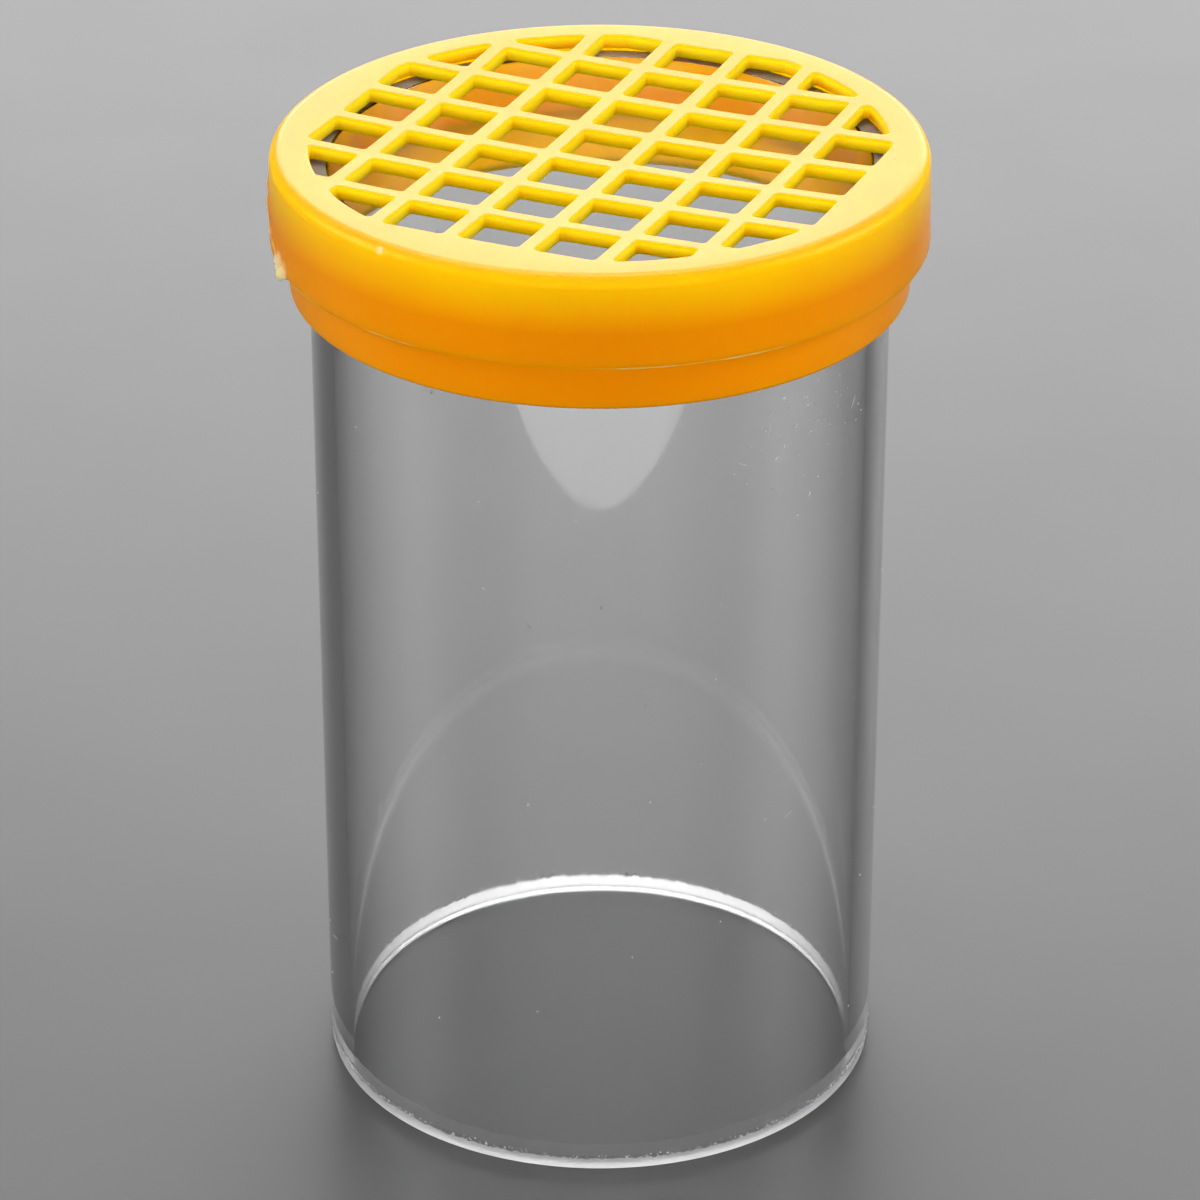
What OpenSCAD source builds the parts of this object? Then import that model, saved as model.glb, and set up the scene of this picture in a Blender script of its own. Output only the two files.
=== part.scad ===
// Queen cage: a clear tube, open at its foot, closed at the top by a push-on grille lid.
// Millimetres, +Z up. The origin is at the centre of the tube's foot.

/* [Tube] */
// Outside diameter of the clear tube
tube_d = 40; // [30:0.5:50]
// Wall thickness of the clear tube
tube_wall = 1.5; // [1:0.1:2.5]
// Length of the tube, from its foot to its rim
tube_len = 69.3; // [40:0.1:120]
// Bevel that breaks each cut edge of the tube
tube_bevel = 0.15; // [0.05:0.05:0.3]

/* [Lid] */
// Radial clearance between the tube and the lid
lid_clearance = 0.1; // [0.05:0.05:0.2]
// Whole height of the lid
lid_h = 9.9; // [8:0.1:14]
// Outside diameter of the wide upper band, at the top
rim_d = 45; // [44.8:0.1:46]
// Height of the wide upper band, down to the step
rim_h = 6.4; // [4:0.1:7]
// How much the upper band's radius grows from the top to the step
rim_draft = 0.1; // [0:0.05:0.2]
// Outside diameter of the lower band, just under the step
skirt_d = 42.9; // [42:0.1:43.5]
// How much the lower band's radius shrinks from the step to the mouth
skirt_draft = 0.08; // [0:0.02:0.15]
// Radius of the rounded edge round the lid's top
top_round = 0.9; // [0.4:0.1:1.2]
// Radius of the rounded edge round the lid's mouth
mouth_round = 0.3; // [0.1:0.05:0.4]
// Lead-in bevel inside the lid's mouth
mouth_lead = 0.4; // [0.1:0.05:0.5]

/* [Grille] */
// Thickness of the grille
grille_t = 1; // [0.8:0.1:2]
// Diameter of the round opening that the grille fills
grille_d = 39.6; // [34:0.1:39.8]
// Distance from one bar to the next
bar_pitch = 5.44; // [4.5:0.01:7]
// Width of a bar
bar_w = 1.15; // [0.8:0.05:1.6]
// Turn of the grille about the lid's axis, in degrees
grille_turn = -23.6; // [-45:0.1:45]
// How far the middle of the central hole lies off the lid's axis, along and across the bars
grille_shift = [-0.09, 0.4]; // [-2:0.01:2]

/* [Hidden] */
// The circles are drawn as 144 sides
$fn = 144;
// Overlap that joins two solids of one piece
joint = 0.05;
// Gap between the tube's rim and the underside of the seated grille
rim_gap = 0.2;
tube_r = tube_d / 2;
lid_bore_r = tube_r + lid_clearance;
grille_r = grille_d / 2;
lid_top = tube_len + rim_gap + grille_t;
lid_mouth = lid_top - lid_h;
step_z = lid_top - rim_h;
rim_r = rim_d / 2;
skirt_r = skirt_d / 2;
// Rows of holes on each side of the central hole, enough to cross the whole opening
hole_rows = ceil(grille_r / bar_pitch);
// Farthest centre of a hole that is cut
hole_reach = grille_r + bar_w;

// Cross-section of the tube's wall, with its cut edges broken
module tube_wall_section() {
    inner = tube_r - tube_wall;
    polygon([
        [inner + tube_bevel, 0],
        [tube_r - tube_bevel, 0],
        [tube_r, tube_bevel],
        [tube_r, tube_len - tube_bevel],
        [tube_r - tube_bevel, tube_len],
        [inner + tube_bevel, tube_len],
        [inner, tube_len - tube_bevel],
        [inner, tube_bevel]
    ]);
}

// Clear tube, open at both ends
module tube() {
    color([0.86, 0.88, 0.89, 0.35])
        rotate_extrude() tube_wall_section();
}

// Cross-section of the upper band: drafted outside, rounded at the top
module rim_section() {
    round_z = lid_top - top_round;
    polygon([
        [grille_r, lid_top - grille_t],
        [lid_bore_r, lid_top - grille_t],
        [lid_bore_r, step_z],
        [rim_r + rim_draft, step_z],
        [rim_r, round_z],
        [rim_r - top_round, round_z],
        [rim_r - top_round, lid_top],
        [grille_r, lid_top]
    ]);
    translate([rim_r - top_round, round_z])
        intersection() {
            circle(r = top_round);
            square(top_round);
        }
}

// Cross-section of the lower band: drafted outside, rounded and bevelled at its mouth
module skirt_section() {
    mouth_r = skirt_r - skirt_draft;
    round_z = lid_mouth + mouth_round;
    polygon([
        [lid_bore_r, lid_mouth + mouth_lead],
        [lid_bore_r + mouth_lead, lid_mouth],
        [mouth_r - mouth_round, lid_mouth],
        [mouth_r - mouth_round, round_z],
        [mouth_r, round_z],
        [skirt_r, step_z],
        [skirt_r, step_z + joint],
        [lid_bore_r, step_z + joint]
    ]);
    translate([mouth_r - mouth_round, round_z])
        intersection() {
            circle(r = mouth_round);
            translate([0, -mouth_round]) square(mouth_round);
        }
}

// Square holes between the bars, trimmed by the round opening. A hole whose centre lies
// beyond hole_reach would be a sliver, so that corner of the opening stays solid.
module grille_holes() {
    intersection() {
        circle(r = grille_r);
        rotate(grille_turn)
            for (i = [-hole_rows : hole_rows], j = [-hole_rows : hole_rows]) {
                centre = [i, j] * bar_pitch + grille_shift;
                if (norm(centre) < hole_reach)
                    translate(centre) square(bar_pitch - bar_w, center = true);
            }
    }
}

// Square grille: a round plate with its holes cut through
module grille() {
    translate([0, 0, lid_top - grille_t])
        linear_extrude(grille_t)
            difference() {
                circle(r = grille_r + joint);
                grille_holes();
            }
}

// Push-on lid, moulded as one piece: upper band, lower band and grille
module lid() {
    color([0.99, 0.76, 0.1]) {
        rotate_extrude() {
            rim_section();
            skirt_section();
        }
        grille();
    }
}

tube();
lid();
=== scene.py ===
import math
import random

import bpy
import numpy as np
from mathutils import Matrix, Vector, noise
from mathutils.geometry import delaunay_2d_cdt


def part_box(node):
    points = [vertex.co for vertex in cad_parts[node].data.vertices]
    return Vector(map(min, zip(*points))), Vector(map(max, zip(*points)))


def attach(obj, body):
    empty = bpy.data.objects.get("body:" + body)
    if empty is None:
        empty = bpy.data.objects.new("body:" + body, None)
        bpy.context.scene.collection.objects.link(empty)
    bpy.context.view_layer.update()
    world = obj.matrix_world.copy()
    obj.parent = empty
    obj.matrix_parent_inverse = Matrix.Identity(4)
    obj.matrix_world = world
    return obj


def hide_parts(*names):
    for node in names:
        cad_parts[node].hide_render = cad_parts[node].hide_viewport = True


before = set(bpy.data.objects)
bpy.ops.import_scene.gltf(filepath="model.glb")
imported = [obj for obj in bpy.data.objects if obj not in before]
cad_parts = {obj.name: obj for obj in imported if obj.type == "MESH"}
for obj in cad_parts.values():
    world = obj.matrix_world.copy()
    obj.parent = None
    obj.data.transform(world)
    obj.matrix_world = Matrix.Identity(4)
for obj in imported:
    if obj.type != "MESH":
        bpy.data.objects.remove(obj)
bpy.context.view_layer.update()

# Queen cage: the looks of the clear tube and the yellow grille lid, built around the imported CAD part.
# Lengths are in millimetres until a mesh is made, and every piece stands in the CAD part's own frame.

MM = 0.001

# --- Sizes, taken from the frame where it has them -------------------------------------------------

tube_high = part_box("tube")[1] / MM
lid_low, lid_high = [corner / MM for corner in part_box("lid")]

TUBE_R = tube_high.x
TUBE_LEN = tube_high.z
TUBE_WALL = 1.5
TUBE_BEVEL = 0.16

LID_TOP = lid_high.z
LID_MOUTH = lid_low.z
LID_CLEARANCE = 0.1
LID_BORE_R = TUBE_R + LID_CLEARANCE
RIM_DRAFT = 0.1
RIM_R = lid_high.x - RIM_DRAFT
RIM_H = 6.4
STEP_Z = LID_TOP - RIM_H
SKIRT_R = 21.45
SKIRT_DRAFT = 0.08
TOP_ROUND = 0.9
MOUTH_ROUND = 0.3
MOUTH_LEAD = 0.4
BORE_FILLET = 0.15
STEP_FILLET = 0.18
PART_LINE_H = 0.16
PART_LINE_IN = 0.07
FLASH_TOP_Z = STEP_Z + 0.1
FLASH_EDGE_Z = STEP_Z + 0.05
FLASH_FOOT_Z = STEP_Z + 0.01

GRILLE_T = 1.0
GRILLE_R = 19.8
BAR_PITCH = 5.44
BAR_W = 1.15
GRILLE_TURN = math.radians(-23.6)
GRILLE_SHIFT = (-0.09, 0.4)
GRILLE_SAG = 0.38
HOLE_CORNER_R = 0.28
HOLE_TOP_ROUND = 0.17
HOLE_TOP_STEPS = 5
HOLE_FOOT_ROUND = 0.06
HOLE_FOOT_STEPS = 3
HOLE_SIDE_STEPS = 8
HOLE_POINT_GAP = 0.02
HOLE_SHARP_TURN = math.radians(20)
HOLE_TURN_STEP = math.radians(16)
OPENING_STEPS = 720
GRILLE_FOOT_Z = LID_TOP - GRILLE_T

LID_TURN_STEPS = 300
TUBE_TURN_STEPS = 720


# --- Mesh helpers ------------------------------------------------------------------------------------

def arc(centre, radius, start, end, steps, hollow=False):
    """Section points (r, z, normal r, normal z) along an arc; a hollow arc faces its centre."""
    points = []
    for step in range(steps + 1):
        angle = math.radians(start + (end - start) * step / steps)
        c, s = math.cos(angle), math.sin(angle)
        side = -1 if hollow else 1
        points.append((centre[0] + radius * c, centre[1] + radius * s, side * c, side * s))
    return points


def line(start, end, steps, ends=False):
    """Section points between two places, leaving out both ends unless they are asked for."""
    run = Vector((end[0] - start[0], end[1] - start[1]))
    out = Vector((-run.y, run.x)).normalized()
    span = range(steps + 1) if ends else range(1, steps)
    return [(start[0] + run.x * i / steps, start[1] + run.y * i / steps, out.x, out.y) for i in span]


class Shell:
    """Collects vertices with their own normals, and faces, for one smooth mesh."""

    def __init__(self):
        self.places, self.normals, self.faces, self.slots = [], [], [], []

    def ring(self, points):
        """Adds (place, normal) pairs and returns their indices."""
        first = len(self.places)
        for place, normal in points:
            self.places.append(place)
            self.normals.append(normal)
        return list(range(first, len(self.places)))

    def bridge(self, upper, lower, slot=0):
        """Joins two closed rings of the same count; upper lies first along the outside."""
        count = len(upper)
        for i in range(count):
            j = (i + 1) % count
            self.faces.append((upper[i], lower[i], lower[j], upper[j]))
            self.slots.append(slot)

    def plate(self, outer, holes, facing_up, slot=0):
        """Fills the flat region between one outer ring and the rings of its holes."""
        rings = [outer] + holes
        used = [index for ring in rings for index in ring]
        flat = [Vector(self.places[index][:2]) for index in used]
        edges, first = [], 0
        for ring in rings:
            count = len(ring)
            edges += [(first + i, first + (i + 1) % count) for i in range(count)]
            first += count
        made = delaunay_2d_cdt(flat, edges, [], 0, 1e-7)
        origins = [used[source[0]] for source in made[3]]
        middles = [np.mean([self.places[i][:2] for i in ring], axis=0) for ring in holes]
        outlines = [np.array([self.places[i][:2] for i in ring]) for ring in holes]
        for triangle in made[2]:
            face = [origins[i] for i in triangle]
            spot = np.mean([self.places[i][:2] for i in face], axis=0)
            if any(inside(spot, m, o) for m, o in zip(middles, outlines)):
                continue
            a, b, c = (Vector(self.places[i][:2]) for i in face)
            counter = (b - a).cross(c - a) > 0
            if counter != facing_up:
                face.reverse()
            self.faces.append(tuple(face))
            self.slots.append(slot)

    def build(self, name, materials):
        """Makes the Blender object, in metres, with the collected normals."""
        mesh = bpy.data.meshes.new(name)
        mesh.from_pydata([tuple(v * MM for v in place) for place in self.places], [], self.faces)
        for material in materials:
            mesh.materials.append(material)
        mesh.polygons.foreach_set("material_index", self.slots)
        mesh.polygons.foreach_set("use_smooth", [True] * len(self.faces))
        mesh.update()
        mesh.normals_split_custom_set_from_vertices([tuple(Vector(n).normalized()) for n in self.normals])
        piece = bpy.data.objects.new(name, mesh)
        bpy.context.scene.collection.objects.link(piece)
        return piece


def inside(spot, middle, outline):
    """True if a spot lies in a convex outline."""
    reach = np.linalg.norm(outline - middle, axis=1).max()
    if np.linalg.norm(spot - middle) > reach:
        return False
    edge = np.roll(outline, -1, axis=0) - outline
    away = spot - outline
    turn = edge[:, 0] * away[:, 1] - edge[:, 1] * away[:, 0]
    return bool(np.all(turn > 0) or np.all(turn < 0))


def lathe_ring(shell, angles, r, z, nr, nz, push=None, lift=None):
    """One ring of a turned shape; push(angle, z) moves it along its normal, lift(angle) upward."""
    points = []
    for angle in angles:
        c, s = math.cos(angle), math.sin(angle)
        move = push(angle, z) if push else 0.0
        rise = lift(angle) if lift else 0.0
        place = ((r + nr * move) * c, (r + nr * move) * s, z + nz * move + rise)
        points.append((place, (nr * c, nr * s, nz)))
    return shell.ring(points)


# --- Grille ------------------------------------------------------------------------------------------

# Material slots of the lid's mesh: its outside, its bore and the walls of the grille's holes; the bore and
# the hole walls take lighter yellows as painted light.
OUTSIDE, BORE, THIN = 0, 1, 2


def sag(x, y):
    """How far the moulded grille has sunk below the lid's top at a place, and its slope there."""
    share = (x * x + y * y) / (TUBE_R * TUBE_R)
    if share >= 1:
        return 0.0, 0.0, 0.0
    slope = 2 * GRILLE_SAG / (TUBE_R * TUBE_R)
    return -GRILLE_SAG * (1 - share), slope * x, slope * y


def hole_centres():
    """Centres of the square holes in the grille's own turned frame."""
    rows = math.ceil(GRILLE_R / BAR_PITCH)
    centres = []
    for i in range(-rows, rows + 1):
        for j in range(-rows, rows + 1):
            centre = Vector((i * BAR_PITCH + GRILLE_SHIFT[0], j * BAR_PITCH + GRILLE_SHIFT[1]))
            if centre.length < GRILLE_R + BAR_W:
                centres.append(centre)
    return centres


def inset_outline(centre):
    """The hole's square trimmed by the opening, drawn inside by the corner radius, as dense points."""
    half = (BAR_PITCH - BAR_W) / 2 - HOLE_CORNER_R
    reach = GRILLE_R - HOLE_CORNER_R
    points = []
    corners = [(-half, -half), (half, -half), (half, half), (-half, half)]
    for k in range(4):
        a, b = Vector(corners[k]) + centre, Vector(corners[(k + 1) % 4]) + centre
        along = [a.lerp(b, i / HOLE_SIDE_STEPS) for i in range(HOLE_SIDE_STEPS)]
        points += [spot for spot in along if spot.length < reach]
        points += crossings(a, b, reach)
    for i in range(OPENING_STEPS):
        angle = 2 * math.pi * i / OPENING_STEPS
        spot = Vector((reach * math.cos(angle), reach * math.sin(angle)))
        if abs(spot.x - centre.x) < half and abs(spot.y - centre.y) < half:
            points.append(spot)
    middle = sum(points, Vector((0, 0))) / len(points)
    points.sort(key=lambda p: math.atan2(p.y - middle.y, p.x - middle.x))
    kept = [points[0]]
    for point in points[1:]:
        if (point - kept[-1]).length > HOLE_POINT_GAP:
            kept.append(point)
    if (kept[0] - kept[-1]).length < HOLE_POINT_GAP:
        kept.pop()
    return kept


def crossings(a, b, reach):
    """Where the edge from a to b crosses the circle of that radius."""
    run = b - a
    qa, qb, qc = run.dot(run), 2 * a.dot(run), a.dot(a) - reach * reach
    root = qb * qb - 4 * qa * qc
    if root <= 0:
        return []
    shares = [(-qb + sign * math.sqrt(root)) / (2 * qa) for sign in (-1, 1)]
    return [a + run * share for share in shares if 0 < share < 1]


def hole_outline(centre):
    """(place, outward normal) pairs round one hole, counter-clockwise, in the lid's frame."""
    points = inset_outline(centre)
    count = len(points)
    turn = math.cos(GRILLE_TURN), math.sin(GRILLE_TURN)
    outline = []
    for i, point in enumerate(points):
        before = point - points[i - 1]
        after = points[(i + 1) % count] - point
        start = math.atan2(-before.x, before.y)
        change = math.atan2(before.cross(after), before.dot(after))
        if change > HOLE_SHARP_TURN:
            steps = math.ceil(change / HOLE_TURN_STEP)
            fan = [start + change * k / steps for k in range(steps + 1)]
        else:
            fan = [start + change / 2]
        for angle in fan:
            nx, ny = math.cos(angle), math.sin(angle)
            x, y = point.x + HOLE_CORNER_R * nx, point.y + HOLE_CORNER_R * ny
            place = (x * turn[0] - y * turn[1], x * turn[1] + y * turn[0])
            normal = (nx * turn[0] - ny * turn[1], nx * turn[1] + ny * turn[0])
            outline.append((place, normal))
    return outline


def hole_section():
    """(grow, z, share of normal across, share of normal up) from the top face down to the underside."""
    rows = []
    for k in range(HOLE_TOP_STEPS + 1):
        c, s = math.cos(math.pi / 2 * k / HOLE_TOP_STEPS), math.sin(math.pi / 2 * k / HOLE_TOP_STEPS)
        rows.append((HOLE_TOP_ROUND * (1 - s), LID_TOP - HOLE_TOP_ROUND * (1 - c), s, c))
    for k in range(HOLE_FOOT_STEPS + 1):
        c, s = math.cos(math.pi / 2 * k / HOLE_FOOT_STEPS), math.sin(math.pi / 2 * k / HOLE_FOOT_STEPS)
        rows.append((HOLE_FOOT_ROUND * (1 - c), GRILLE_FOOT_Z + HOLE_FOOT_ROUND * (1 - s), c, -s))
    return rows


def cut_hole(shell, centre):
    """Adds the rounded wall of one hole and returns its top and bottom rings."""
    outline = hole_outline(centre)
    rings = []
    for grow, z, across, up in hole_section():
        points = []
        for (x, y), (nx, ny) in outline:
            px, py = x + nx * grow, y + ny * grow
            drop, slope_x, slope_y = sag(px, py)
            normal = (-nx * across - slope_x * up, -ny * across - slope_y * up, up)
            points.append(((px, py, z + drop), normal))
        rings.append(shell.ring(points))
    for k in range(len(rings) - 1):
        shell.bridge(rings[k + 1], rings[k], OUTSIDE if k < HOLE_TOP_STEPS else THIN)
    return rings[0], rings[-1]


# --- Lid ---------------------------------------------------------------------------------------------

GATE_START = math.radians(181)
GATE_END = math.radians(201)
GATE_MIDDLE = math.radians(192)
GATE_REACH = math.radians(14)
GATE_TOP_Z = LID_TOP - 2.5
GATE_FOOT_Z = STEP_Z + 0.15
GATE_HEIGHT = 0.42
GATE_BREADTH = 0.42
GATE_FOOT_BREADTH = 0.4

NICK_ANGLE = math.radians(230)
NICK_REACH = math.radians(2.5)
NICK_DEPTH = 0.22
NICK_LENGTH = 0.34
NICK_BREADTH = 0.2
NICK_R = RIM_R - 0.2
NICK_Z = LID_TOP - 0.42
NICK_PLACE = (NICK_R * math.cos(NICK_ANGLE), NICK_R * math.sin(NICK_ANGLE), NICK_Z)

FINE_TURN = math.radians(0.25)
FINE_TURN_GAP = math.radians(0.3)
FLASH_REACH = 0.09


def smooth(low, high, value):
    """Rises smoothly from 0 at low to 1 at high."""
    share = min(1.0, max(0.0, (value - low) / (high - low)))
    return share * share * (3 - 2 * share)


def lid_angles():
    """Turn angles of the lid's rings, closer together where the gate and the nick are."""
    angles = [2 * math.pi * i / LID_TURN_STEPS for i in range(LID_TURN_STEPS)]
    for middle, reach in ((GATE_MIDDLE, GATE_REACH), (NICK_ANGLE, NICK_REACH)):
        dense = np.arange(middle - reach, middle + reach, FINE_TURN)
        angles = [angle for angle in angles if abs(angle - middle) > reach + FINE_TURN_GAP]
        angles += list(dense)
    return sorted(angles)


def gate_push(angle, z):
    """Rough torn stub of the mould's gate, which runs slantwise down the side to the parting line."""
    share = (angle - GATE_START) / (GATE_END - GATE_START)
    if not -0.3 < share < 1.3:
        return 0.0
    path_z = GATE_TOP_Z - (GATE_TOP_Z - GATE_FOOT_Z) * min(1.0, max(0.0, share)) ** 0.7
    across = (z - path_z) / (GATE_BREADTH + GATE_FOOT_BREADTH * smooth(0.6, 1.0, share))
    ends = smooth(-0.12, 0.06, share) * (1 - smooth(1.0, 1.1, share))
    body = math.exp(-across * across) * ends
    swell = 0.45 + 0.75 * smooth(0.6, 0.95, share)
    where = Vector((angle * RIM_R * 1.1, z * 1.1, 3.0))
    rough = 0.55 + 0.9 * noise.noise(where * 1.2) + 0.6 * noise.noise(where * 3.4)
    return GATE_HEIGHT * swell * body * max(0.0, rough)


def nick_push(angle, z):
    """Small dent in the rounded top edge."""
    along = (angle - NICK_ANGLE) * RIM_R / NICK_LENGTH
    across = (z - NICK_Z) / NICK_BREADTH
    return -NICK_DEPTH * math.exp(-along * along - across * across)


def side_push(angle, z):
    """The gate and the nick together, on the lid's smooth side."""
    return gate_push(angle, z) + nick_push(angle, z)


def flash_push(angle, z):
    """Thin uneven flash left along the parting line."""
    where = Vector((math.cos(angle) * 3.2, math.sin(angle) * 3.2, 0.7))
    slow = smooth(-0.15, 0.35, noise.noise(where))
    fine = 0.75 + 0.5 * noise.noise(where * 6)
    return FLASH_REACH * (0.18 + 0.82 * slow) * fine + gate_push(angle, z)


def pushed(points, push):
    """Section points with the function that pushes each one out."""
    return [(point, push) for point in points]


def facing(points, nr, nz):
    """Section points that all take one exact normal."""
    return [((r, z, nr, nz), None) for r, z, _, _ in points]


def lid_section():
    """The turned part of the lid, from the top face out, down, under and up the bore."""
    mouth_r = SKIRT_R - SKIRT_DRAFT
    part_r = RIM_R + RIM_DRAFT
    flat_r = part_r - PART_LINE_IN
    fillet_r = SKIRT_R + STEP_FILLET
    ceiling_z = GRILLE_FOOT_Z - BORE_FILLET
    bore_z = np.linspace(LID_MOUTH + MOUTH_LEAD, ceiling_z, 6)[1:-1]
    rows = pushed(arc((RIM_R - TOP_ROUND, LID_TOP - TOP_ROUND), TOP_ROUND, 90, 0, 12), side_push)
    side = line((RIM_R, LID_TOP - TOP_ROUND), (part_r, STEP_Z + PART_LINE_H), 30, ends=True)
    rows += pushed(side[1:], side_push)
    rows += [((part_r, FLASH_TOP_Z, 1.0, 0.0), flash_push)]
    rows += [((part_r, FLASH_EDGE_Z, 0.9, -0.44), flash_push)]
    rows += [((flat_r, FLASH_FOOT_Z, 0.0, -1.0), None)]
    rows += facing(line((flat_r, STEP_Z), (fillet_r, STEP_Z), 3), 0.0, -1.0)
    rows += pushed(arc((fillet_r, STEP_Z - STEP_FILLET), STEP_FILLET, 90, 180, 5, hollow=True), None)
    rows += facing(line((SKIRT_R, STEP_Z - STEP_FILLET), (mouth_r, LID_MOUTH + MOUTH_ROUND), 5), 1.0, 0.0)
    rows += pushed(arc((mouth_r - MOUTH_ROUND, LID_MOUTH + MOUTH_ROUND), MOUTH_ROUND, 0, -90, 6), None)
    rows += pushed(arc((LID_BORE_R + MOUTH_LEAD, LID_MOUTH + MOUTH_LEAD), MOUTH_LEAD, -90, -180, 6), None)
    rows += pushed([(LID_BORE_R, z, -1.0, 0.0) for z in bore_z], None)
    rows += pushed(arc((LID_BORE_R - BORE_FILLET, ceiling_z), BORE_FILLET, 0, 90, 4, hollow=True), None)
    return rows


def make_lid(materials):
    """The whole lid as one closed mesh: the turned ring and the grille inside it."""
    shell = Shell()
    angles = lid_angles()
    rows = lid_section()
    rings = [lathe_ring(shell, angles, *row, push=push) for row, push in rows]
    for k in range(len(rings) - 1):
        in_bore = rows[k][0][2] < -0.5 and rows[k + 1][0][2] < -0.5
        shell.bridge(rings[k], rings[k + 1], BORE if in_bore else OUTSIDE)
    holes = [cut_hole(shell, centre) for centre in hole_centres()]
    shell.plate(rings[0], [top for top, _ in holes], facing_up=True)
    shell.plate(rings[-1], [foot for _, foot in holes], facing_up=False)
    return shell.build("lid_moulding", materials)


# --- Tube --------------------------------------------------------------------------------------------

# Material slots of the tube's mesh: its faces, its cut ends and the frosted band at the foot.
POLISHED, SAWN, GROUND = 0, 1, 2

FOOT_BAND = 0.92
FOOT_BAND_DEPTH = 0.05
FOOT_BAND_UNEVEN = 0.13


def band_lift(angle):
    """How far the ground band at the foot reaches above or below its mean height."""
    where = Vector((math.cos(angle) * TUBE_R, math.sin(angle) * TUBE_R, 5.0))
    slow, fine = noise.noise(where * 0.35), noise.noise(where * 1.6)
    return FOOT_BAND_UNEVEN * (0.5 * slow + 0.7 * fine + noise.noise(where * 4))


def banded(points, slot, next_slot):
    """Rows whose strips take one slot, apart from the strip after the last row."""
    return [(point, slot, None) for point in points[:-1]] + [(points[-1], next_slot, None)]


def tube_section():
    """(row, slot of the strip that follows, lift) round the tube's wall, from the top rim outward."""
    bevel = TUBE_BEVEL
    inner_centre = TUBE_R - TUBE_WALL + bevel
    ground_r = TUBE_R - FOOT_BAND_DEPTH
    rows = banded(arc((TUBE_R - bevel, TUBE_LEN - bevel), bevel, 90, 0, 4), POLISHED, POLISHED)
    rows += [((TUBE_R, FOOT_BAND, 1.0, 0.0), GROUND, band_lift)]
    rows += [((ground_r, FOOT_BAND - 2 * FOOT_BAND_DEPTH, 1.0, 0.0), GROUND, band_lift)]
    rows += [((ground_r, FOOT_BAND / 2, 1.0, 0.0), GROUND, None)]
    rows += banded(arc((ground_r - bevel, bevel), bevel, 0, -90, 4), GROUND, SAWN)
    rows += banded(arc((inner_centre, bevel), bevel, -90, -180, 4), SAWN, POLISHED)
    rows += banded(arc((inner_centre, TUBE_LEN - bevel), bevel, 180, 90, 4), POLISHED, SAWN)
    return rows


def make_tube(materials):
    """The tube's wall, closed at both cut ends."""
    shell = Shell()
    angles = [2 * math.pi * i / TUBE_TURN_STEPS for i in range(TUBE_TURN_STEPS)]
    rows = tube_section()
    rings = [lathe_ring(shell, angles, *row, lift=lift) for row, _, lift in rows]
    for k in range(len(rings)):
        shell.bridge(rings[k], rings[(k + 1) % len(rings)], rows[k][1])
    return shell.build("tube_wall", materials)


# --- Scuffs ------------------------------------------------------------------------------------------

SCUFF_SEED = 20
SCUFF_COUNT = 100
SCUFF_SIZE = 0.048
SCUFF_HEIGHT = 0.02
SCUFF_EDGE_HEIGHT = 0.002
SCUFF_DEPTH = 0.01
SCUFF_SIDES = 10
SCUFF_FOOT_Z = 3
SCUFF_TOP_Z = 59
SCRATCH_SHARE = 0.1
SCRATCH_STRETCH = 9

PATCH_SHARE = 0.45
PATCH_TURN, PATCH_TURN_SPREAD = -46, 10
PATCH_Z, PATCH_Z_SPREAD, PATCH_TOP_Z = 56, 2.4, 60

CHIP_COUNT = 260
CHIP_SIZE = 0.035
CHIP_STRETCH = 1.5
CHIP_RISE, CHIP_RISE_SPREAD = 0.1, 0.1


def add_scuff(shell, angle, z, length, width, tilt):
    """One thin lens-shaped chip or scratch on the tube's outer face."""
    along, across = math.cos(tilt), math.sin(tilt)
    raised = []
    for k in range(SCUFF_SIDES):
        turn = 2 * math.pi * k / SCUFF_SIDES
        u, v = length * math.cos(turn), width * math.sin(turn)
        raised.append((u * along - v * across, u * across + v * along, SCUFF_EDGE_HEIGHT))
    raised += [(0, 0, SCUFF_HEIGHT), (0, 0, -SCUFF_DEPTH)]
    points = []
    for x, y, out in raised:
        c, s = math.cos(angle + x / TUBE_R), math.sin(angle + x / TUBE_R)
        points.append((((TUBE_R + out) * c, (TUBE_R + out) * s, z + y), (c, s, 0)))
    first = shell.ring(points)[0]
    top, foot = first + SCUFF_SIDES, first + SCUFF_SIDES + 1
    for k in range(SCUFF_SIDES):
        a, b = first + k, first + (k + 1) % SCUFF_SIDES
        shell.faces += [(a, b, top), (b, a, foot)]
        shell.slots += [0, 0]


def add_handling_mark(shell, chance):
    """A chip or a scratch, often in the patch on the front right."""
    if chance.random() < PATCH_SHARE:
        angle = math.radians(chance.gauss(PATCH_TURN, PATCH_TURN_SPREAD))
        z = min(chance.gauss(PATCH_Z, PATCH_Z_SPREAD), PATCH_TOP_Z)
    else:
        angle = math.radians(chance.uniform(0, 360))
        z = chance.uniform(SCUFF_FOOT_Z, SCUFF_TOP_Z)
    size = SCUFF_SIZE * math.exp(chance.gauss(0, 0.4))
    stretch = SCRATCH_STRETCH if chance.random() < SCRATCH_SHARE else chance.uniform(1, 2)
    tilt = chance.uniform(0, math.pi)
    add_scuff(shell, angle, z, size * stretch, size / math.sqrt(stretch), tilt)


def add_foot_chip(shell, chance):
    """A small chip just over the ground band."""
    size = CHIP_SIZE * math.exp(chance.gauss(0, 0.4))
    z = FOOT_BAND + CHIP_RISE + abs(chance.gauss(0, CHIP_RISE_SPREAD))
    angle = chance.uniform(0, 2 * math.pi)
    tilt = chance.uniform(0, math.pi)
    add_scuff(shell, angle, z, size * CHIP_STRETCH, size, tilt)


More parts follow.
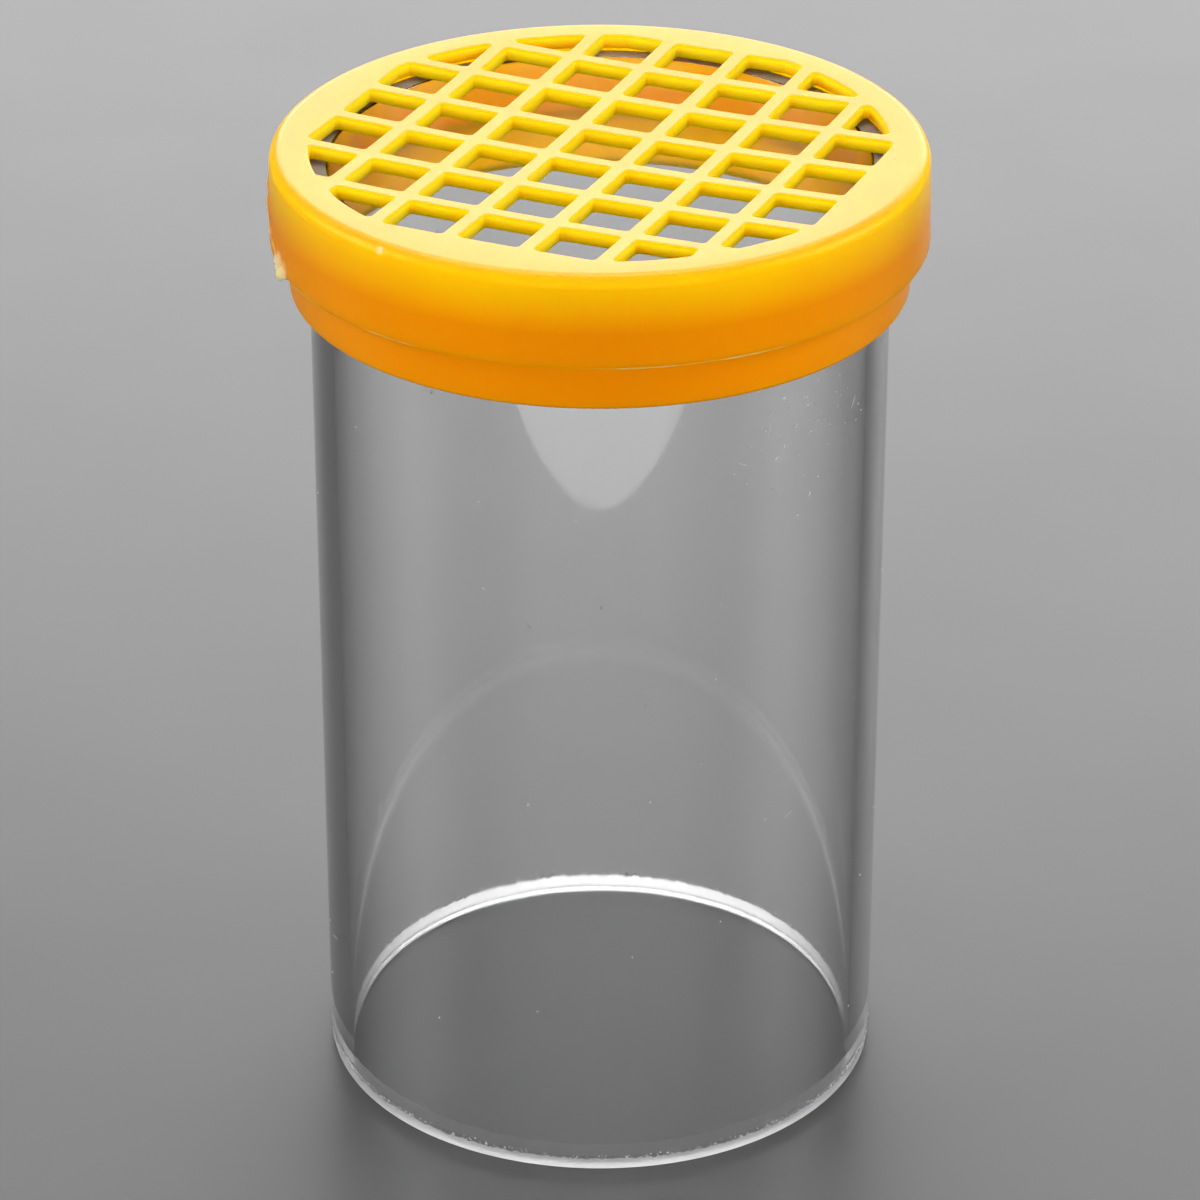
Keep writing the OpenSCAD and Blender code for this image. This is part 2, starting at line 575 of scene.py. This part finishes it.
def make_scuffs(material):
    """All the marks on the tube as one piece."""
    shell = Shell()
    chance = random.Random(SCUFF_SEED)
    for _ in range(SCUFF_COUNT):
        add_handling_mark(shell, chance)
    for _ in range(CHIP_COUNT):
        add_foot_chip(shell, chance)
    return shell.build("tube_scuffs", [material])


# --- Materials ---------------------------------------------------------------------------------------

class Nodes:
    """Short calls for building one material's node tree."""

    def __init__(self, name):
        self.material = bpy.data.materials.new(name)
        self.material.use_nodes = True
        self.tree = self.material.node_tree
        self.shader = self.tree.nodes["Principled BSDF"]

    def add(self, kind, inputs=None, **settings):
        """A node with its settings, and with its inputs set or linked."""
        node = self.tree.nodes.new(kind)
        for key, value in settings.items():
            setattr(node, key, value)
        for key, value in (inputs or {}).items():
            if isinstance(value, bpy.types.NodeSocket):
                self.tree.links.new(value, node.inputs[key])
            else:
                node.inputs[key].default_value = value
        return node

    def set(self, **values):
        """Sets the shader's inputs; an underscore stands for a space."""
        for key, value in values.items():
            self.shader.inputs[key.replace("_", " ")].default_value = value

    def link(self, source, key):
        self.tree.links.new(source, self.shader.inputs[key])

    def object_place(self, stretch=(1, 1, 1)):
        """The place on the object in millimetres."""
        place = self.add("ShaderNodeTexCoord").outputs["Object"]
        scale = tuple(s / MM for s in stretch)
        return self.add("ShaderNodeMapping", {"Vector": place, "Scale": scale}).outputs["Vector"]

    def upward_part(self, vector):
        """The Z of a place or of a direction."""
        return self.add("ShaderNodeSeparateXYZ", {"Vector": vector}).outputs["Z"]

    def noise(self, place, scale, detail=3.0, roughness=0.5):
        inputs = {"Vector": place, "Scale": scale, "Detail": detail, "Roughness": roughness}
        return self.add("ShaderNodeTexNoise", inputs).outputs["Fac"]

    def spread(self, value, low, high, to_low=0.0, to_high=1.0):
        """Maps low...high to to_low...to_high and stops at both ends."""
        inputs = {"Value": value, "From Min": low, "From Max": high, "To Min": to_low, "To Max": to_high}
        return self.add("ShaderNodeMapRange", inputs).outputs["Result"]

    def mix(self, share, first, second):
        """The first colour at share 0, the second at share 1."""
        return self.add("ShaderNodeMix", {0: share, 6: first, 7: second}, data_type="RGBA").outputs[2]

    def bump(self, height, strength, distance):
        node = self.add("ShaderNodeBump", {"Height": height, "Strength": strength, "Distance": distance})
        self.link(node.outputs["Normal"], "Normal")

    def let_through(self, color, share):
        """Passes a share of the light through the surface, scattered."""
        through = self.add("ShaderNodeBsdfTranslucent", {"Color": color}).outputs["BSDF"]
        inputs = {0: share, 1: self.shader.outputs["BSDF"], 2: through}
        whole = self.add("ShaderNodeMixShader", inputs).outputs["Shader"]
        self.tree.links.new(whole, self.tree.nodes["Material Output"].inputs["Surface"])


DEEP_YELLOW = (0.83, 0.285, 0.0005, 1)
# Painted light: the side's yellow near its top edge.
SIDE_TOP_PAINTED_LIGHT_YELLOW = (1.0, 0.56, 0.002, 1)
# Painted sheen on upward faces.
TOP_PAINTED_SHEEN_YELLOW = (0.92, 0.355, 0.012, 1)
CLOUD_ORANGE = (0.7, 0.2, 0.001, 1)
# Pale torn plastic on the gate, and a painted highlight in the nick.
PALE_TORN_AND_NICK_HIGHLIGHT = (1.0, 0.75, 0.42, 1)


def torn_and_nick_highlight_share(m, place):
    """Where the plastic is pale: torn plastic on the rough gate, past the lid's turned side, and a painted
    highlight in the nick.
    """
    level = m.add("ShaderNodeVectorMath", {0: place, 1: (1, 1, 0)}, operation="MULTIPLY").outputs["Vector"]
    radius = m.add("ShaderNodeVectorMath", {0: level}, operation="LENGTH").outputs["Value"]
    torn = m.spread(radius, RIM_R + 0.13, RIM_R + 0.3, 0.0, 0.85)
    # The nick is painted pale as a highlight.
    off_nick = m.add("ShaderNodeVectorMath", {0: place, 1: NICK_PLACE}, operation="DISTANCE")
    nick_painted_highlight = m.spread(off_nick.outputs["Value"], 0.1, 0.35, 0.9, 0.0)
    return m.add("ShaderNodeMath", {0: torn, 1: nick_painted_highlight}, operation="MAXIMUM").outputs["Value"]


def yellow_plastic():
    """Translucent moulded polyethylene: deep orange low on the side, painted lighter and yellower towards
    the top edge as painted light, and paler on upward faces as painted sheen.
    """
    m = Nodes("yellow_outside")
    place = m.object_place()
    upward = m.upward_part(m.add("ShaderNodeTexCoord").outputs["Normal"])
    # Painted light: the side is lighter and yellower towards its top edge, as if lit from above.
    side_painted_light_rise = m.spread(m.upward_part(place), LID_TOP - 4.0, LID_TOP - 1.1)
    side = m.mix(side_painted_light_rise, DEEP_YELLOW, SIDE_TOP_PAINTED_LIGHT_YELLOW)
    # Painted sheen: upward faces, the top face and the upper rounding, take a paler yellow.
    body = m.mix(m.spread(upward, 0.5, 0.98), side, TOP_PAINTED_SHEEN_YELLOW)
    cloud = m.spread(m.noise(place, 0.12, 2.0), 0.35, 0.7, 0.0, 0.12)
    cloudy = m.mix(cloud, body, CLOUD_ORANGE)
    m.link(m.mix(torn_and_nick_highlight_share(m, place), cloudy, PALE_TORN_AND_NICK_HIGHLIGHT), "Base Color")
    m.link(m.spread(m.noise(place, 1.6, 4.0, 0.6), 0.3, 0.7, 0.28, 0.34), "Roughness")
    m.bump(m.noise(place, 3.0, 5.0, 0.65), 0.03, 0.00002)
    m.set(Subsurface_Weight=1.0, Subsurface_Radius=(1.0, 0.5, 0.05), Subsurface_Scale=0.0012,
          IOR=1.5, Specular_IOR_Level=0.28, Specular_Tint=(1.0, 0.55, 0.05, 1))
    return m.material


def yellow_bore_painted_light():
    """The lid's bore, where light comes through the wall from outside; its yellow is painted lighter than
    the outside's, and lighter and yellower towards the grille, as painted light.
    """
    m = Nodes("yellow_bore_painted_light")
    place = m.object_place()
    # Painted light: lighter and yellower from the mouth up to the grille.
    rise = m.spread(m.upward_part(place), LID_MOUTH, GRILLE_FOOT_Z)
    bore_painted_glow = m.mix(rise, (1.0, 0.36, 0.001, 1), (1.0, 0.6, 0.002, 1))
    cloud = m.spread(m.noise(place, 0.3, 3.0), 0.3, 0.7, 0.0, 0.2)
    m.link(m.mix(cloud, bore_painted_glow, (1.0, 0.45, 0.001, 1)), "Base Color")
    m.set(Roughness=0.45, Subsurface_Weight=1.0, Subsurface_Radius=(1.0, 0.4, 0.001), Subsurface_Scale=0.02,
          IOR=1.5, Specular_IOR_Level=0.2, Specular_Tint=(1.0, 0.7, 0.08, 1))
    return m.material


def yellow_thin_painted_glow():
    """The walls of the grille's holes, where the bars are thin enough for light to come through; their
    yellow is painted lighter than the outside's, and lighter towards the top, as painted glow.
    """
    m = Nodes("yellow_thin_painted_glow")
    # Painted glow: lighter towards the top of the hole walls.
    rise = m.spread(m.upward_part(m.object_place()), GRILLE_FOOT_Z, LID_TOP - HOLE_TOP_ROUND)
    m.link(m.mix(rise, (1.0, 0.56, 0.003, 1), (1.0, 0.68, 0.02, 1)), "Base Color")
    m.set(Roughness=0.4, Subsurface_Weight=1.0, Subsurface_Radius=(1.0, 0.58, 0.03), Subsurface_Scale=0.003,
          IOR=1.5, Specular_IOR_Level=0.2, Specular_Tint=(1.0, 0.7, 0.08, 1))
    return m.material


def clear_acrylic():
    """Polished tube wall; its colour is painted darker where the wall is seen edge-on, as painted shade
    along the tube's outlines.
    """
    m = Nodes("clear_acrylic")
    streak = m.noise(m.object_place((1, 1, 0.08)), 0.5, 4.0, 0.6)
    m.link(m.spread(streak, 0.35, 0.8, 0.02, 0.07), "Roughness")
    m.bump(m.noise(m.object_place(), 0.1, 1.0), 0.05, 0.0002)
    # Painted shade: the glass's colour turns dark grey where the wall is seen edge-on.
    painted_edge_shade = m.add("ShaderNodeLayerWeight", {"Blend": 0.3}).outputs["Facing"]
    face = m.mix(m.spread(streak, 0.35, 0.65), (0.953, 0.953, 0.955, 1), (0.932, 0.932, 0.934, 1))
    m.link(m.mix(m.spread(painted_edge_shade, 0.2, 0.95), face, (0.36, 0.363, 0.366, 1)), "Base Color")
    m.set(Transmission_Weight=1.0, IOR=1.49)
    return m.material


def sawn_acrylic():
    """Cut end of the tube, buffed but still rough."""
    m = Nodes("sawn_acrylic")
    marks = m.noise(m.object_place(), 2.5, 5.0, 0.7)
    m.link(m.spread(marks, 0.3, 0.7, 0.3, 0.5), "Roughness")
    m.bump(marks, 0.1, 0.00005)
    m.set(Base_Color=(0.98, 0.982, 0.985, 1), Transmission_Weight=0.9, IOR=1.49)
    return m.material


def ground_acrylic():
    """White frosted band left where the cut edge was ground."""
    m = Nodes("ground_acrylic")
    marks = m.noise(m.object_place((1, 1, 3)), 2.2, 5.0, 0.7)
    white = m.mix(m.spread(marks, 0.35, 0.65), (0.94, 0.945, 0.945, 1), (0.99, 0.99, 0.99, 1))
    m.link(white, "Base Color")
    m.bump(m.noise(m.object_place(), 3.0, 4.0, 0.7), 0.5, 0.0001)
    m.set(Roughness=0.5, Transmission_Weight=0.9, IOR=1.49)
    m.let_through(white, 0.45)
    return m.material


def scuffed_acrylic():
    """White chips and scratches in the polished face."""
    m = Nodes("scuffed_acrylic")
    grain = m.noise(m.object_place(), 6.0, 3.0)
    white = m.mix(grain, (0.8, 0.81, 0.82, 1), (0.98, 0.98, 0.98, 1))
    m.link(white, "Base Color")
    m.set(Roughness=0.4, IOR=1.49)
    m.let_through(white, 0.4)
    return m.material


def grey_board():
    """Satin grey studio board."""
    m = Nodes("grey_board")
    place = m.object_place()
    cloud = m.spread(m.noise(place, 0.012, 4.0, 0.55), 0.3, 0.7)
    m.link(m.mix(cloud, (0.078, 0.078, 0.078, 1), (0.069, 0.069, 0.0692, 1)), "Base Color")
    m.link(m.spread(m.noise(place, 0.05, 4.0), 0.3, 0.7, 0.385, 0.4), "Roughness")
    m.set(IOR=1.5, Specular_IOR_Level=0.4)
    return m.material


# --- Studio ------------------------------------------------------------------------------------------

FLOOR_R = 3000.0
FLOOR_Z = -0.03
FLOOR_STEPS = 96
FLOOR_FIRST_R = 20.0
FLOOR_GROWTH = 1.35
CENTRE = Vector((0.0, 0.0, LID_TOP / 2))

# Name, degrees from the front to the right, degrees up, distance, size and radiance.
SOFTBOXES = (
    ("key_softbox", 180, 66, 600, (420, 360), 7.2),
    ("back_softbox", 174, 19, 800, (760, 400), 4.15),
    ("front_softbox", 0, 14, 800, (1200, 360), 4.7),
    ("left_softbox", -90, 28, 800, (460, 420), 6.4),
    ("right_softbox", 90, 28, 800, (460, 420), 6.4),
)
CARD_NEAR = 123.0
CARD_HEIGHT = 0.5
CARD_SIZE = (700.0, 1500.0)
CARD_RADIANCE = 3.0
THROUGH_TURN, THROUGH_RISE, THROUGH_DISTANCE = 180, 12, 500
THROUGH_SIZE = (500, 200)
THROUGH_TUBE_RADIANCE = 14.0
THROUGH_LID_RADIANCE = 3.5
WORLD_GREY = (0.06, 0.06, 0.06, 1)


def make_floor():
    """A round floor, cut finely enough near the object for clean shading."""
    shell = Shell()
    angles = [2 * math.pi * i / FLOOR_STEPS for i in range(FLOOR_STEPS)]
    radii = [FLOOR_FIRST_R]
    while radii[-1] * FLOOR_GROWTH < FLOOR_R:
        radii.append(radii[-1] * FLOOR_GROWTH)
    radii.append(FLOOR_R)
    rings = [lathe_ring(shell, angles, r, FLOOR_Z, 0.0, 1.0) for r in radii]
    for inner, outer in zip(rings, rings[1:]):
        shell.bridge(inner, outer)
    shell.plate(rings[0], [], facing_up=True)
    shell.build("floor", [grey_board()])


def area_lamp(name, size, radiance):
    """A rectangular lamp of that size in millimetres, which the camera doesn't see."""
    light = bpy.data.lights.new(name, "AREA")
    light.shape = "RECTANGLE"
    light.size, light.size_y = (side * MM for side in size)
    light.energy = radiance * math.pi * light.size * light.size_y
    lamp = bpy.data.objects.new(name, light)
    lamp.visible_camera = False
    bpy.context.scene.collection.objects.link(lamp)
    return lamp


def light_only(lamp, pieces, hidden_paths):
    """Keeps a lamp to some pieces and takes it away from some kinds of light path."""
    lit = bpy.data.collections.new(lamp.name)
    for piece in pieces:
        lit.objects.link(piece)
    lamp.light_linking.receiver_collection = lit
    for path in hidden_paths:
        setattr(lamp, "visible_" + path, False)


def softbox(name, turn, rise, distance, size, radiance):
    """A lamp that faces the object, turned that many degrees from the front, to the right."""
    turn, rise = math.radians(turn), math.radians(rise)
    away = Vector((math.sin(turn) * math.cos(rise), -math.cos(turn) * math.cos(rise), math.sin(rise)))
    lamp = area_lamp(name, size, radiance)
    lamp.location = (CENTRE + away * distance) * MM
    lamp.rotation_euler = away.to_track_quat("Z", "Y").to_euler()
    return lamp


def make_card(tube):
    """A bright card lying in front of the object, which only the polished tube mirrors."""
    card = area_lamp("front_card", CARD_SIZE, CARD_RADIANCE)
    card.location = (0, -(CARD_NEAR + CARD_SIZE[1] / 2) * MM, CARD_HEIGHT * MM)
    card.rotation_euler = (math.pi, 0, 0)
    light_only(card, [tube], ("diffuse", "transmission", "volume_scatter"))


def through_light(name, pieces, radiance):
    """A low lamp behind the object, for light that comes through frosted or yellow parts."""
    lamp = softbox(name, THROUGH_TURN, THROUGH_RISE, THROUGH_DISTANCE, THROUGH_SIZE, radiance)
    light_only(lamp, pieces, ("glossy", "transmission", "volume_scatter"))


def make_lights(lid, tube, scuffs):
    """Soft light from all sides, the card, the two lamps behind, and a little light from the room."""
    for row in SOFTBOXES:
        softbox(*row)
    make_card(tube)
    through_light("through_tube", [tube, scuffs], THROUGH_TUBE_RADIANCE)
    through_light("through_lid", [lid], THROUGH_LID_RADIANCE)
    world = bpy.data.worlds.new("studio")
    world.use_nodes = True
    world.node_tree.nodes["Background"].inputs["Color"].default_value = WORLD_GREY
    bpy.context.scene.world = world


CAMERA_RISE = math.radians(28.03)
CAMERA_DISTANCE = 348.24
CAMERA_LENS = 146.44
CAMERA_SENSOR = 36


def make_camera():
    """The camera at the photo's angle, aimed at the middle of the object."""
    camera = bpy.data.cameras.new("camera")
    camera.lens = CAMERA_LENS
    camera.sensor_width = CAMERA_SENSOR
    holder = bpy.data.objects.new("camera", camera)
    back = Vector((0, -math.cos(CAMERA_RISE), math.sin(CAMERA_RISE)))
    holder.location = (CENTRE + back * CAMERA_DISTANCE) * MM
    holder.rotation_euler = (-back).to_track_quat("-Z", "Y").to_euler()
    bpy.context.scene.collection.objects.link(holder)
    bpy.context.scene.camera = holder


# --- The scene ---------------------------------------------------------------------------------------

lid = make_lid([yellow_plastic(), yellow_bore_painted_light(), yellow_thin_painted_glow()])
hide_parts("lid")
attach(lid, "lid")

tube = make_tube([clear_acrylic(), sawn_acrylic(), ground_acrylic()])
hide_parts("tube")
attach(tube, "tube")

scuffs = make_scuffs(scuffed_acrylic())
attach(scuffs, "tube")

make_floor()
make_lights(lid, tube, scuffs)
make_camera()
bpy.context.scene.view_settings.view_transform = "Standard"
